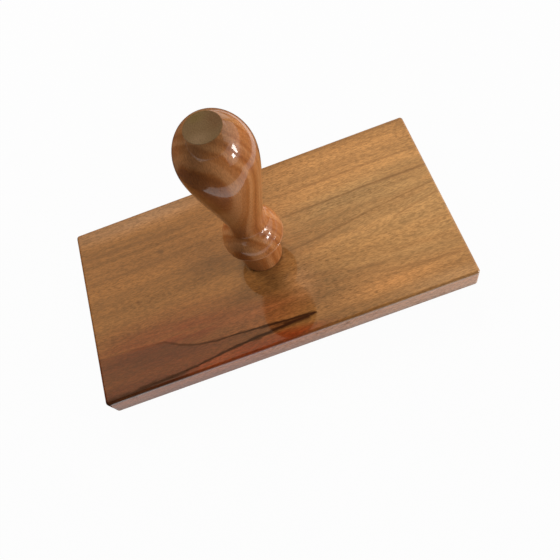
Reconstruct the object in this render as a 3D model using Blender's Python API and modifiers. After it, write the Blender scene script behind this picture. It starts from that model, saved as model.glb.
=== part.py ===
"""Wooden butter print: a hardwood board carved on its underside, with a turned palm handle.

Metres, +Z up. The origin is the centre of the underside, on the surface that the print stands on.
X runs along the board, Y across it.
"""

import math

import bmesh
import bpy
from mathutils import Matrix, Vector

# Board
BOARD_LENGTH = 0.200
BOARD_WIDTH = 0.105
BOARD_THICKNESS = 0.015
CORNER_RADIUS = 0.0018
ARRIS_RADIUS = 0.0014
ARRIS_ANGLE_DEG = 60.0

# Handle, as a stack of turned stretches from the board upwards
FOOT_RADIUS = 0.0112
FOOT_RISE = 0.0145
FOOT_CHAMFER = 0.0004
COVE_RISE = 0.0079
BEAD_OVERHANG = 0.0044
BEAD_DOME_HEIGHT = 0.0150
NECK_RADIUS = 0.0094
NECK_EASE = 0.0030
NECK_TURN_DEG = 14.0
PEAR_RISE = 0.0540
PEAR_UPPER_REACH = 0.0125
PEAR_LOWER_REACH = 0.0125
KNOB_RADIUS = 0.0176
CROWN_RISE = 0.0193
CROWN_FLAT_RADIUS = 0.0079

# Spigot that seats the handle in the board
SPIGOT_RADIUS = 0.0050
SPIGOT_LENGTH = 0.0050
SPIGOT_CHAMFER = 0.0006

# Wood screw that draws the handle down, its head sunk in the underside
SCREW_SHANK_LENGTH = 0.0142
SCREW_RADIUS = 0.0025
SCREW_ROOT_RADIUS = 0.0017
SCREW_HEAD_RADIUS = 0.0046
SCREW_HEAD_HEIGHT = 0.0028
SCREW_SLOT_WIDTH = 0.0011
SCREW_SLOT_DEPTH = 0.0012
THREAD_LENGTH = 0.028
THREAD_PITCH = 0.0024
POINT_LENGTH = 0.0050

# Plug that closes the screw's counterbore, and the pins that stop the handle turning
PLUG_SHOULDER = 0.0011
PLUG_THICKNESS = 0.0030
PLUG_CHAMFER = 0.0004
PIN_RADIUS = 0.00125
PIN_LENGTH = 0.010
PIN_COUNT = 2

# Carving on the underside
BORDER_INSET = 0.0070
BORDER_GROOVE_WIDTH = 0.0024
BORDER_GROOVE_DEPTH = 0.0012
PETAL_COUNT = 8
PETAL_LENGTH = 0.0240
PETAL_WIDTH = 0.0105
PETAL_DEPTH = 0.0022
PETAL_GAP = 0.0020
STEM_WIDTH = 0.0026
STEM_DEPTH = 0.0014
STEM_GAP = 0.0030
STEM_END_MARGIN = 0.0050
LEAF_LENGTH = 0.0240
LEAF_WIDTH = 0.0090
LEAF_DEPTH = 0.0020
LEAF_PITCH = 0.0125
LEAF_LEAN_DEG = 42.0

# Gap left between pieces that touch, how far a cutter stands proud of what it cuts, and how near
# to each other the points of a turned shape are when they count as one
CLEARANCE = 0.0003
CUTTER_MARGIN = 0.002
MERGE_DISTANCE = 0.00001

# Facets
CORNER_SEGMENTS = 4
ARRIS_SEGMENTS = 3
HANDLE_STEPS = 48
SMALL_STEPS = 24
CURVE_POINTS = 9
THREAD_ROWS_PER_PITCH = 4
DISH_SEGMENTS = 16
DISH_RINGS = 8

# Heights and radii worked out from the sizes above
HANDLE_BASE = BOARD_THICKNESS + CLEARANCE
BEAD_RADIUS = FOOT_RADIUS + BEAD_OVERHANG
BEAD_NECK_ANGLE = math.acos(NECK_RADIUS / BEAD_RADIUS)
BEAD_HEIGHT = FOOT_RISE + COVE_RISE
NECK_HEIGHT = BEAD_HEIGHT + BEAD_DOME_HEIGHT * math.sin(BEAD_NECK_ANGLE)
KNOB_HEIGHT = NECK_HEIGHT + PEAR_RISE
HANDLE_HEIGHT = KNOB_HEIGHT + CROWN_RISE
PLUG_BASE = CLEARANCE
HEAD_BASE = PLUG_BASE + PLUG_THICKNESS + CLEARANCE
SHANK_BASE = HEAD_BASE + SCREW_HEAD_HEIGHT
THREAD_BASE = SHANK_BASE + SCREW_SHANK_LENGTH
SCREW_TIP = THREAD_BASE + THREAD_LENGTH
SOCKET_FLOOR = HANDLE_BASE - SPIGOT_LENGTH - CLEARANCE
PIN_CIRCLE_RADIUS = (SPIGOT_RADIUS + CLEARANCE + FOOT_RADIUS) / 2
PLUG_RADIUS = SCREW_HEAD_RADIUS + CLEARANCE + PLUG_SHOULDER
HUB_RADIUS = PLUG_RADIUS + CLEARANCE

WOOD_BOARD = ("board_wood", (0.36, 0.17, 0.065), 0.25, 0.0)
WOOD_HANDLE = ("handle_wood", (0.33, 0.14, 0.05), 0.22, 0.0)
WOOD_PLUG = ("plug_wood", (0.30, 0.13, 0.05), 0.40, 0.0)
BRASS = ("brass", (0.72, 0.50, 0.19), 0.30, 1.0)


def clear_scene():
    """Removes the objects that are already in the scene."""
    for obj in list(bpy.data.objects):
        bpy.data.objects.remove(obj)


def new_collection(name):
    collection = bpy.data.collections.new(name)
    bpy.context.scene.collection.children.link(collection)
    return collection


def material(name, colour, roughness, metallic):
    """The named Principled material, made once and shared."""
    if name in bpy.data.materials:
        return bpy.data.materials[name]
    made = bpy.data.materials.new(name)
    made.use_nodes = True
    shader = made.node_tree.nodes["Principled BSDF"]
    shader.inputs["Base Color"].default_value = (*colour, 1.0)
    shader.inputs["Roughness"].default_value = roughness
    shader.inputs["Metallic"].default_value = metallic
    return made


def add_empty(name, parent, height, collection):
    empty = bpy.data.objects.new(name, None)
    empty.parent = parent
    empty.location = (0, 0, height)
    collection.objects.link(empty)
    return empty


def add_part(name, mesh, finish, parent, collection):
    """One named piece of the object, carrying its own finish."""
    obj = bpy.data.objects.new(name, mesh)
    mesh.materials.append(material(*finish))
    obj.parent = parent
    collection.objects.link(obj)
    return obj


def add_cutter(name, mesh, collection):
    """A shape that only cuts: it is drawn as wire and left out of renders."""
    obj = bpy.data.objects.new(name, mesh)
    obj.display_type = "WIRE"
    obj.hide_render = True
    collection.objects.link(obj)
    return obj


def mesh_from_bmesh(name, bm):
    mesh = bpy.data.meshes.new(name)
    bm.to_mesh(mesh)
    bm.free()
    return mesh


def profile_mesh(name, profile):
    """A chain of edges in the XZ plane through the (radius, height) points."""
    bm = bmesh.new()
    points = [bm.verts.new((radius, 0, height)) for radius, height in profile]
    for start, end in zip(points, points[1:]):
        bm.edges.new((start, end))
    return mesh_from_bmesh(name, bm)


def turn(obj, steps):
    """Turns an object's profile round Z."""
    screw = obj.modifiers.new("turned", "SCREW")
    screw.axis = "Z"
    screw.steps = steps
    screw.render_steps = steps
    screw.use_merge_vertices = True
    screw.merge_threshold = MERGE_DISTANCE
    screw.use_smooth_shade = True


def cut(obj, cutter):
    boolean = obj.modifiers.new("cut_" + cutter.name, "BOOLEAN")
    boolean.operation = "DIFFERENCE"
    boolean.solver = "EXACT"
    boolean.object = cutter


def cut_all(obj, cutters):
    boolean = obj.modifiers.new("cut_" + cutters.name, "BOOLEAN")
    boolean.operation = "DIFFERENCE"
    boolean.solver = "EXACT"
    boolean.operand_type = "COLLECTION"
    boolean.collection = cutters


def cylinder_mesh(name, radius, low, high, steps=SMALL_STEPS):
    """A closed cylinder on Z, from one height to another."""
    bm = bmesh.new()
    middle = Matrix.Translation((0, 0, (low + high) / 2))
    bmesh.ops.create_cone(
        bm, cap_ends=True, segments=steps, radius1=radius, radius2=radius, depth=high - low, matrix=middle
    )
    return mesh_from_bmesh(name, bm)


def dish_mesh(name, length, width, depth):
    """A flat ellipsoid that scoops an almond-shaped hollow, as one stroke of a gouge does."""
    bm = bmesh.new()
    bmesh.ops.create_uvsphere(bm, u_segments=DISH_SEGMENTS, v_segments=DISH_RINGS, radius=1.0)
    bmesh.ops.rotate(bm, matrix=Matrix.Rotation(math.pi / 2, 3, "Y"), verts=bm.verts)
    bmesh.ops.scale(bm, vec=(length / 2, width / 2, depth), verts=bm.verts)
    return mesh_from_bmesh(name, bm)


def shares(count):
    """Evenly spaced shares from 0 to 1."""
    return [index / (count - 1) for index in range(count)]


def dome_arc(height, across, along, first, last):
    """Points of an ellipse about the turning axis, from one angle above its middle to another."""
    angles = [first + (last - first) * share for share in shares(CURVE_POINTS)]
    return [(across * math.cos(a), height + along * math.sin(a)) for a in angles]


def bezier(start, first, second, end):
    """Points of a cubic curve in the profile's plane."""
    corners = [Vector(point) for point in (start, first, second, end)]
    points = []
    for t in shares(CURVE_POINTS):
        weights = ((1 - t) ** 3, 3 * t * (1 - t) ** 2, 3 * t * t * (1 - t), t**3)
        point = sum((corner * weight for corner, weight in zip(corners, weights)), Vector((0, 0)))
        points.append((point.x, point.y))
    return points


def crown_points():
    """The crown's dome, from the edge of its flat down to the knob's widest place."""
    flat_angle = math.acos(CROWN_FLAT_RADIUS / KNOB_RADIUS)
    return dome_arc(KNOB_HEIGHT, KNOB_RADIUS, CROWN_RISE / math.sin(flat_angle), flat_angle, 0.0)


def pear_points():
    """The pear-shaped grip, from the knob in to its neck."""
    return bezier(
        (KNOB_RADIUS, KNOB_HEIGHT),
        (KNOB_RADIUS, KNOB_HEIGHT - PEAR_UPPER_REACH),
        (NECK_RADIUS, NECK_HEIGHT + PEAR_LOWER_REACH),
        (NECK_RADIUS, NECK_HEIGHT + NECK_EASE),
    )


def bead_points():
    """The bead's dome, from the hollow under the neck out to the arris at its widest place."""
    hollow_end = BEAD_NECK_ANGLE - math.radians(NECK_TURN_DEG)
    return dome_arc(BEAD_HEIGHT, BEAD_RADIUS, BEAD_DOME_HEIGHT, hollow_end, 0.0)


def neck_points():
    """The soft hollow where the grip turns out into the bead."""
    corner = (NECK_RADIUS, NECK_HEIGHT)
    return bezier((NECK_RADIUS, NECK_HEIGHT + NECK_EASE), corner, corner, bead_points()[0])


def cove_points():
    """The cove under the bead, from its arris in and down to the foot's plain collar."""
    return bezier(
        (BEAD_RADIUS, BEAD_HEIGHT),
        (FOOT_RADIUS, BEAD_HEIGHT),
        (FOOT_RADIUS, FOOT_RISE + COVE_RISE / 2),
        (FOOT_RADIUS, FOOT_RISE),
    )


def handle_profile():
    """The handle's half section, down its outside from the crown to the spigot and up inside its bore."""
    bore_radius = SCREW_RADIUS + CLEARANCE
    bore_end = SCREW_TIP + CLEARANCE - HANDLE_BASE
    turned_stretches = (pear_points(), neck_points(), bead_points(), cove_points())
    outside = [(0, HANDLE_HEIGHT), *crown_points()]
    for stretch in turned_stretches:
        outside += stretch[1:]
    spigot = [
        (FOOT_RADIUS, FOOT_CHAMFER),
        (FOOT_RADIUS - FOOT_CHAMFER, 0),
        (SPIGOT_RADIUS, 0),
        (SPIGOT_RADIUS, SPIGOT_CHAMFER - SPIGOT_LENGTH),
        (SPIGOT_RADIUS - SPIGOT_CHAMFER, -SPIGOT_LENGTH),
    ]
    bore = [(bore_radius, -SPIGOT_LENGTH), (bore_radius, bore_end), (0, bore_end)]
    return outside + spigot + bore


def seat_profile():
    """The cutter for the handle's seat: spigot socket, screw hole, countersink and plug's counterbore."""
    socket = SPIGOT_RADIUS + CLEARANCE
    hole = SCREW_RADIUS + CLEARANCE
    countersink = SCREW_HEAD_RADIUS + CLEARANCE
    top = BOARD_THICKNESS + CUTTER_MARGIN
    return [
        (0, top),
        (socket, top),
        (socket, SOCKET_FLOOR),
        (hole, SOCKET_FLOOR),
        (hole, SHANK_BASE),
        (countersink, HEAD_BASE),
        (HUB_RADIUS, HEAD_BASE),
        (HUB_RADIUS, -CUTTER_MARGIN),
        (0, -CUTTER_MARGIN),
    ]


def screw_profile():
    """The screw's half section with its thread still plain, from the point down to the head."""
    point_base = SCREW_TIP - POINT_LENGTH
    rows = round((point_base - THREAD_BASE) / THREAD_PITCH * THREAD_ROWS_PER_PITCH)
    point_rows = max(2, round(POINT_LENGTH / THREAD_PITCH * THREAD_ROWS_PER_PITCH))
    taper = [
        (SCREW_ROOT_RADIUS * index / point_rows, SCREW_TIP - POINT_LENGTH * index / point_rows)
        for index in range(point_rows)
    ]
    thread = [
        (SCREW_ROOT_RADIUS, point_base - (point_base - THREAD_BASE) * index / rows)
        for index in range(rows + 1)
    ]
    shank = [(SCREW_RADIUS, THREAD_BASE - THREAD_PITCH / 2), (SCREW_RADIUS, SHANK_BASE)]
    return taper + thread + shank + [(SCREW_HEAD_RADIUS, HEAD_BASE), (0, HEAD_BASE)]


def raise_thread(mesh):
    """Lifts a helical ridge out of the plain thread, by each point's place in the pitch."""
    ridge = SCREW_RADIUS - SCREW_ROOT_RADIUS
    for vertex in mesh.vertices:
        x, y, z = vertex.co
        radius = math.hypot(x, y)
        if z < THREAD_BASE - THREAD_PITCH / 4 or radius < SCREW_ROOT_RADIUS / 100:
            continue
        turn_share = math.atan2(y, x) / math.tau
        place = ((z - THREAD_BASE) / THREAD_PITCH - turn_share) % 1.0
        fade = min(1.0, (SCREW_TIP - z) / POINT_LENGTH, max(0.0, (z - THREAD_BASE) / THREAD_PITCH))
        grown = 1 + ridge * (1 - abs(2 * place - 1)) * fade / radius
        vertex.co = (x * grown, y * grown, z)


def evaluated_mesh(obj, name):
    """The object's mesh with its modifiers applied. The object itself is removed."""
    bpy.context.view_layer.update()
    mesh = bpy.data.meshes.new_from_object(obj.evaluated_get(bpy.context.evaluated_depsgraph_get()))
    mesh.name = name
    bpy.data.objects.remove(obj)
    return mesh


def board_blank():
    """The planed board before any cut, its four upright corners rounded."""
    bm = bmesh.new()
    bmesh.ops.create_cube(bm, size=1.0)
    bmesh.ops.scale(bm, vec=(BOARD_LENGTH, BOARD_WIDTH, BOARD_THICKNESS), verts=bm.verts)
    bmesh.ops.translate(bm, vec=(0, 0, BOARD_THICKNESS / 2), verts=bm.verts)
    upright = [edge for edge in bm.edges if edge.verts[0].co.xy == edge.verts[1].co.xy]
    bmesh.ops.bevel(
        bm, geom=upright, offset=CORNER_RADIUS, segments=CORNER_SEGMENTS, profile=0.5, affect="EDGES"
    )
    return mesh_from_bmesh("print_board", bm)


def border_groove_mesh():
    """A V-section frame that cuts the line round the carved field."""
    bm = bmesh.new()
    half_length = BOARD_LENGTH / 2 - BORDER_INSET
    half_width = BOARD_WIDTH / 2 - BORDER_INSET
    corners = ((1, 1), (-1, 1), (-1, -1), (1, -1))
    section = (
        (BORDER_GROOVE_WIDTH / 2, 0.0),
        (0.0, BORDER_GROOVE_DEPTH),
        (-BORDER_GROOVE_WIDTH / 2, 0.0),
        (0.0, -BORDER_GROOVE_DEPTH),
    )
    rings = [
        [bm.verts.new((sx * (half_length + out), sy * (half_width + out), up)) for sx, sy in corners]
        for out, up in section
    ]
    for ring, following in zip(rings, rings[1:] + rings[:1]):
        for corner in range(len(corners)):
            after = (corner + 1) % len(corners)
            bm.faces.new((ring[corner], ring[after], following[after], following[corner]))
    bmesh.ops.recalc_face_normals(bm, faces=bm.faces)
    return mesh_from_bmesh("border_groove", bm)


def carve_places():
    """Each gouge stroke of the rosette and the two leaf sprays: name, size, place and turn."""
    strokes = []
    petal_radius = HUB_RADIUS + PETAL_GAP + PETAL_LENGTH / 2
    petal_size = (PETAL_LENGTH, PETAL_WIDTH, PETAL_DEPTH)
    for index in range(PETAL_COUNT):
        turn_angle = math.tau * (index + 0.5) / PETAL_COUNT
        place = (petal_radius * math.cos(turn_angle), petal_radius * math.sin(turn_angle))
        strokes.append((f"petal_{index + 1}", petal_size, place, turn_angle))
    stem_start = HUB_RADIUS + PETAL_GAP + PETAL_LENGTH + STEM_GAP
    stem_room = BOARD_LENGTH / 2 - BORDER_INSET - STEM_END_MARGIN - stem_start
    leaf_pairs = max(1, int(stem_room / LEAF_PITCH) - 1)
    stem_length = LEAF_PITCH * (leaf_pairs + 1)
    leaf_size = (LEAF_LENGTH, LEAF_WIDTH, LEAF_DEPTH)
    lean = math.radians(LEAF_LEAN_DEG)
    for side, heading in (("right", 0.0), ("left", math.pi)):
        towards = math.cos(heading)
        stem_middle = (towards * (stem_start + stem_length / 2), 0.0)
        strokes.append((f"stem_{side}", (stem_length, STEM_WIDTH, STEM_DEPTH), stem_middle, heading))
        for pair in range(leaf_pairs):
            root = stem_start + LEAF_PITCH * (pair + 0.5)
            for hand, slant in (("near", -lean), ("far", lean)):
                clear_of_stem = STEM_WIDTH * (1 if slant > 0 else -1)
                place = (
                    towards * (root + LEAF_LENGTH / 2 * math.cos(slant)),
                    LEAF_LENGTH / 2 * math.sin(slant) + clear_of_stem,
                )
                strokes.append((f"leaf_{side}_{hand}_{pair + 1}", leaf_size, place, towards * slant))
    return strokes


def make_carving_cutters(collection):
    """The cutters for the border line, the rosette and the leaf sprays."""
    add_cutter("border_groove", border_groove_mesh(), collection)
    for name, size, place, turn_angle in carve_places():
        stroke = add_cutter(name, dish_mesh(name, *size), collection)
        stroke.location = (*place, 0)
        stroke.rotation_euler = (0, 0, turn_angle)


def make_pin_cutters(collection):
    """One cutter for each pin, long enough to drill the board and the handle's foot in one line."""
    radius = PIN_RADIUS + CLEARANCE
    half = PIN_LENGTH / 2 + CLEARANCE
    cutters = []
    for index, place in enumerate(pin_places()):
        name = f"pin_hole_{index + 1}"
        cutter = add_cutter(name, cylinder_mesh(name, radius, -half, half, SMALL_STEPS // 2), collection)
        cutter.location = (*place, HANDLE_BASE - CLEARANCE / 2)
        cutters.append(cutter)
    return cutters


def pin_places():
    """Where the pins stand on the foot, on the board's centre line across its grain."""
    angles = [math.tau * index / PIN_COUNT + math.pi / 2 for index in range(PIN_COUNT)]
    return [(PIN_CIRCLE_RADIUS * math.cos(a), PIN_CIRCLE_RADIUS * math.sin(a)) for a in angles]


def make_board(parent, collection, seat_cutter, pin_cutters, carving):
    board = add_part("print_board", board_blank(), WOOD_BOARD, parent, collection)
    arris = board.modifiers.new("eased_arrises", "BEVEL")
    arris.width = ARRIS_RADIUS
    arris.segments = ARRIS_SEGMENTS
    arris.limit_method = "ANGLE"
    arris.angle_limit = math.radians(ARRIS_ANGLE_DEG)
    cut(board, seat_cutter)
    for cutter in pin_cutters:
        cut(board, cutter)
    cut_all(board, carving)


def make_handle(parent, collection, pin_cutters):
    mesh = profile_mesh("turned_handle", handle_profile())
    handle = add_part("turned_handle", mesh, WOOD_HANDLE, parent, collection)
    turn(handle, HANDLE_STEPS)
    for cutter in pin_cutters:
        cut(handle, cutter)


def make_screw(parent, collection, cutters):
    blank = bpy.data.objects.new("screw_blank", profile_mesh("screw_blank", screw_profile()))
    collection.objects.link(blank)
    turn(blank, SMALL_STEPS)
    mesh = evaluated_mesh(blank, "handle_screw")
    raise_thread(mesh)
    screw = add_part("handle_screw", mesh, BRASS, parent, collection)
    slot = bmesh.new()
    bmesh.ops.create_cube(slot, size=1.0)
    slot_size = (2 * (SCREW_HEAD_RADIUS + CUTTER_MARGIN), SCREW_SLOT_WIDTH, 2 * SCREW_SLOT_DEPTH)
    bmesh.ops.scale(slot, vec=slot_size, verts=slot.verts)
    cutter = add_cutter("screw_slot", mesh_from_bmesh("screw_slot", slot), cutters)
    cutter.location = (0, 0, HEAD_BASE)
    cut(screw, cutter)


def make_plug(parent, collection):
    top = PLUG_BASE + PLUG_THICKNESS
    profile = [
        (0, top),
        (PLUG_RADIUS - PLUG_CHAMFER, top),
        (PLUG_RADIUS, top - PLUG_CHAMFER),
        (PLUG_RADIUS, PLUG_BASE),
        (0, PLUG_BASE),
    ]
    plug = add_part("screw_plug", profile_mesh("screw_plug", profile), WOOD_PLUG, parent, collection)
    turn(plug, SMALL_STEPS)


def make_pins(parent, collection):
    """Short pins, half in the board and half in the handle's foot."""
    half = PIN_LENGTH / 2
    for index, place in enumerate(pin_places()):
        name = f"anti_turn_pin_{index + 1}"
        mesh = cylinder_mesh(name, PIN_RADIUS, -half, half, SMALL_STEPS // 2)
        pin = add_part(name, mesh, BRASS, parent, collection)
        pin.location = (*place, -CLEARANCE / 2)


def main():
    clear_scene()
    parts = new_collection("butter_print")
    cutters = new_collection("cutters")
    carving = new_collection("carving_cutters")

    underside = add_empty("underside", None, 0.0, parts)
    handle_base = add_empty("handle_base", underside, HANDLE_BASE, parts)

    seat_cutter = add_cutter("handle_seat", profile_mesh("handle_seat", seat_profile()), cutters)
    turn(seat_cutter, SMALL_STEPS)
    pin_cutters = make_pin_cutters(cutters)
    make_carving_cutters(carving)

    make_board(underside, parts, seat_cutter, pin_cutters, carving)
    make_handle(handle_base, parts, pin_cutters)
    make_screw(underside, parts, cutters)
    make_plug(underside, parts)
    make_pins(handle_base, parts)


main()
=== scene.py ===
"""Dressed scene of a wooden butter print: a varnished board with a turned palm handle.

Metres, +Z up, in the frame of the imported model. The board lies along X and the handle stands on Z.
"""

import logging
import math
from dataclasses import dataclass
from enum import Enum

import bmesh
import bpy
from mathutils import Matrix, Vector


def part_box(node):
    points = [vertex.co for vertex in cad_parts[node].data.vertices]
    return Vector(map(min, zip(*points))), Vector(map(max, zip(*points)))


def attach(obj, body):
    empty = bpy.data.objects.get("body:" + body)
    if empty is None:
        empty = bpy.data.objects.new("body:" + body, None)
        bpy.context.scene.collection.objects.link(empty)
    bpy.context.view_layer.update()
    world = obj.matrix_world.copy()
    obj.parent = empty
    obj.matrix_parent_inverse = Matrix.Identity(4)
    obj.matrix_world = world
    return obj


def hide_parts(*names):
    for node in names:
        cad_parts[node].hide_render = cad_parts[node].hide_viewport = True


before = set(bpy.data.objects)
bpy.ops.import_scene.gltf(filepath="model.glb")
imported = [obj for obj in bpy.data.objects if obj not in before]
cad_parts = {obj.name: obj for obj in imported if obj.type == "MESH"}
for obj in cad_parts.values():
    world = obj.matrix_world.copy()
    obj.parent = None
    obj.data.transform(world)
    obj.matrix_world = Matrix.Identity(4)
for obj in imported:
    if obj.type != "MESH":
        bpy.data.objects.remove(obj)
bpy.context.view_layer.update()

Colour = tuple[float, float, float]
Spot = tuple[float, float]
Profile = list[Spot]
Socket = bpy.types.NodeSocket
Feed = Socket | float | tuple[float, ...]

BODY = "root"
WHITE = (1.0, 1.0, 1.0)
MERGE_DISTANCE = 0.00001
CLEARANCE = 0.0003
CUTTER_MARGIN = 0.002
ROUND_PROFILE = 0.5
HALF_STEP = 0.5
QUARTER_TURN = 90.0
NOISE_MIDDLE = 0.5
FIBRE_RANGE = (0.3, 0.7)
LEVEL = (1.0, 1.0, 0.0)

log = logging.getLogger("butter_print")


class Slot(Enum):
    """The record's material slots."""

    BOARD = "board_wood"
    HANDLE = "handle_wood"
    PLUG = "plug_wood"
    BRASS = "brass"


class Kind(Enum):
    """What a node group's socket carries."""

    VALUE = "NodeSocketFloat"
    VECTOR = "NodeSocketVector"


class Group(Enum):
    """The node groups that more than one finish shares."""

    GRAIN = "long_grain"
    VARNISH = "varnish"
    LINE = "figure_line"
    PATCH = "soft_patch"


class Tree:
    """A node tree under construction."""

    def __init__(self, tree: bpy.types.NodeTree) -> None:
        """Empties the tree that is built on."""
        self.tree = tree
        self.tree.nodes.clear()

    def add(self, kind: str, **settings: object) -> bpy.types.Node:
        """Adds a node.

        Args:
            kind: The node's type name.
            settings: Attributes that are set on it.

        Returns:
            The new node.
        """
        node = self.tree.nodes.new(kind)
        for name, value in settings.items():
            setattr(node, name, value)
        return node

    def feed(self, socket: Socket, value: Feed) -> None:
        """Gives a socket its input.

        Args:
            socket: The input socket.
            value: Another node's output, which is linked, or a plain value, which is written.
        """
        if isinstance(value, bpy.types.NodeSocket):
            self.tree.links.new(value, socket)
        else:
            socket.default_value = value

    def feed_all(self, node: bpy.types.Node, values: dict[str, Feed]) -> None:
        """Gives a node's named sockets their inputs."""
        for name, value in values.items():
            self.feed(node.inputs[name], value)

    def math(self, operation: str, *operands: Feed) -> Socket:
        """Works out a number.

        Args:
            operation: The Math node's operation.
            operands: Its inputs in order.

        Returns:
            The result's socket.
        """
        node = self.add("ShaderNodeMath", operation=operation)
        for socket, value in zip(node.inputs, operands):
            self.feed(socket, value)
        return node.outputs["Value"]

    def total(self, *terms: Feed) -> Socket:
        """The sum of several numbers."""
        result = terms[0]
        for term in terms[1:]:
            result = self.math("ADD", result, term)
        return result

    def vector(self, operation: str, first: Feed, second: Feed) -> Socket:
        """Works out a vector from two others."""
        node = self.add("ShaderNodeVectorMath", operation=operation)
        self.feed(node.inputs[0], first)
        self.feed(node.inputs[1], second)
        return node.outputs["Vector"]

    def measure(self, operation: str, first: Feed, second: Feed = (0.0, 0.0, 0.0)) -> Socket:
        """Works out a number from vectors, such as a length or a dot product."""
        node = self.add("ShaderNodeVectorMath", operation=operation)
        self.feed(node.inputs[0], first)
        self.feed(node.inputs[1], second)
        return node.outputs["Value"]

    def split(self, vector: Socket) -> tuple[Socket, Socket, Socket]:
        """The three numbers of a vector."""
        node = self.add("ShaderNodeSeparateXYZ")
        self.feed(node.inputs[0], vector)
        return tuple(node.outputs)

    def join(self, x: Feed, y: Feed, z: Feed) -> Socket:
        """A vector of three numbers."""
        node = self.add("ShaderNodeCombineXYZ")
        for socket, value in zip(node.inputs, (x, y, z)):
            self.feed(socket, value)
        return node.outputs[0]

    def span(self, value: Feed, low: Feed, high: Feed, start: float = 0.0, end: float = 1.0) -> Socket:
        """Eases a number from one range to another and clamps it.

        Args:
            value: The number.
            low: Where the range begins.
            high: Where it ends.
            start: The result at the beginning.
            end: The result at the end.

        Returns:
            The result's socket.
        """
        node = self.add("ShaderNodeMapRange", interpolation_type="SMOOTHSTEP")
        for socket, number in zip(node.inputs, (value, low, high, start, end)):
            self.feed(socket, number)
        return node.outputs["Result"]

    def noise(self, vector: Feed, detail: float = 2.0) -> Socket:
        """Cloud noise from 0 to 1 whose features are about one unit long."""
        node = self.add("ShaderNodeTexNoise")
        self.feed_all(node, {"Vector": vector, "Scale": 1.0, "Detail": detail})
        return node.outputs[0]

    def stretched_noise(self, vector: Feed, pace: tuple[float, ...], detail: float = 2.0) -> Socket:
        """Cloud noise with its own number of features to the metre along each axis."""
        return self.noise(self.vector("MULTIPLY", vector, pace), detail)

    def mix(self, share: Feed, first: Feed, second: Feed, mode: str = "MIX") -> Socket:
        """Blends two colours.

        Args:
            share: How much of the second colour shows.
            first: The colour underneath.
            second: The colour on top.
            mode: The Mix node's blend type.

        Returns:
            The blended colour's socket.
        """
        node = self.add("ShaderNodeMix", data_type="RGBA", blend_type=mode)
        sockets = [socket for socket in node.inputs if socket.enabled]
        for socket, value in zip(sockets, (share, opaque(first), opaque(second))):
            self.feed(socket, value)
        return next(socket for socket in node.outputs if socket.enabled)

    def curve(self, value: Feed, points: tuple[Spot, ...]) -> Socket:
        """Reads a smooth curve through given points.

        Args:
            value: The place along the curve, from 0 to 1.
            points: The curve's points, both numbers from 0 to 1, in order.

        Returns:
            The curve's height there.
        """
        node = self.add("ShaderNodeFloatCurve")
        drawn = node.mapping.curves[0].points
        while len(drawn) < len(points):
            drawn.new(1.0, 1.0)
        for knot, place in zip(drawn, points):
            knot.location = place
        node.mapping.update()
        self.feed(node.inputs["Value"], value)
        return node.outputs[0]

    def group(self, group: Group, **inputs: Feed) -> bpy.types.NodeOutputs:
        """Places a shared node group.

        Args:
            group: Which group.
            inputs: Its named inputs.

        Returns:
            The group's outputs.
        """
        node = self.add("ShaderNodeGroup", node_tree=bpy.data.node_groups[group.value])
        self.feed_all(node, inputs)
        return node.outputs


def start_material(name: str) -> tuple[bpy.types.Material, Tree]:
    """A new material and its empty tree."""
    made = bpy.data.materials.new(name)
    made.use_nodes = True
    return made, Tree(made.node_tree)


def opaque(colour: Feed) -> Feed:
    """A plain colour with its alpha, or a socket as it is."""
    if isinstance(colour, tuple):
        return (*colour, 1.0)
    return colour


def start_group(
    group: Group,
    inputs: dict[str, Kind],
    outputs: dict[str, Kind],
) -> tuple[Tree, dict[str, Socket], bpy.types.Node]:
    """Starts a shared node group.

    Args:
        group: Which group.
        inputs: Its inputs and what each carries.
        outputs: Its outputs and what each carries.

    Returns:
        The tree to build in, the sockets that bring the inputs, and the node that takes the outputs.
    """
    made = bpy.data.node_groups.new(group.value, "ShaderNodeTree")
    for name, kind in inputs.items():
        made.interface.new_socket(name=name, in_out="INPUT", socket_type=kind.value)
    for name, kind in outputs.items():
        made.interface.new_socket(name=name, in_out="OUTPUT", socket_type=kind.value)
    tree = Tree(made)
    entry = tree.add("NodeGroupInput")
    return tree, {name: entry.outputs[name] for name in inputs}, tree.add("NodeGroupOutput")


@dataclass(frozen=True)
class LongGrain:
    """Wood grain that runs along X: broad ribbons, fine fibres and short open pores, per metre."""

    ribbon_pace: tuple[float, ...] = (5.0, 150.0, 90.0)
    stripe_pace: tuple[float, ...] = (16.0, 480.0, 300.0)
    fibre_pace: tuple[float, ...] = (480.0, 2100.0, 1500.0)
    pore_pace: tuple[float, ...] = (340.0, 2000.0, 2000.0)
    crowd_pace: tuple[float, ...] = (14.0, 90.0, 90.0)
    pore_onset: float = 0.54
    pore_full: float = 0.65
    stripe_share: float = 0.32
    crowd_range: Spot = (0.3, 0.7)

    def build(self) -> None:
        """Makes the group, with the ribbons, the fibres and the pores each from 0 to 1."""
        outputs = {"Ribbon": Kind.VALUE, "Fibre": Kind.VALUE, "Pore": Kind.VALUE}
        tree, entry, leave = start_group(Group.GRAIN, {"Place": Kind.VECTOR}, outputs)
        place = entry["Place"]
        ribbons = tree.stretched_noise(place, self.ribbon_pace)
        stripes = tree.stretched_noise(place, self.stripe_pace)
        broad = tree.math("MULTIPLY", ribbons, 1.0 - self.stripe_share)
        narrow = tree.math("MULTIPLY", stripes, self.stripe_share)
        crowd = tree.span(tree.stretched_noise(place, self.crowd_pace), *self.crowd_range)
        pore = tree.span(tree.stretched_noise(place, self.pore_pace), self.pore_onset, self.pore_full)
        tree.feed(leave.inputs["Ribbon"], tree.math("ADD", broad, narrow))
        tree.feed(leave.inputs["Fibre"], tree.stretched_noise(place, self.fibre_pace))
        tree.feed(leave.inputs["Pore"], tree.math("MULTIPLY", pore, crowd))


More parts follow.
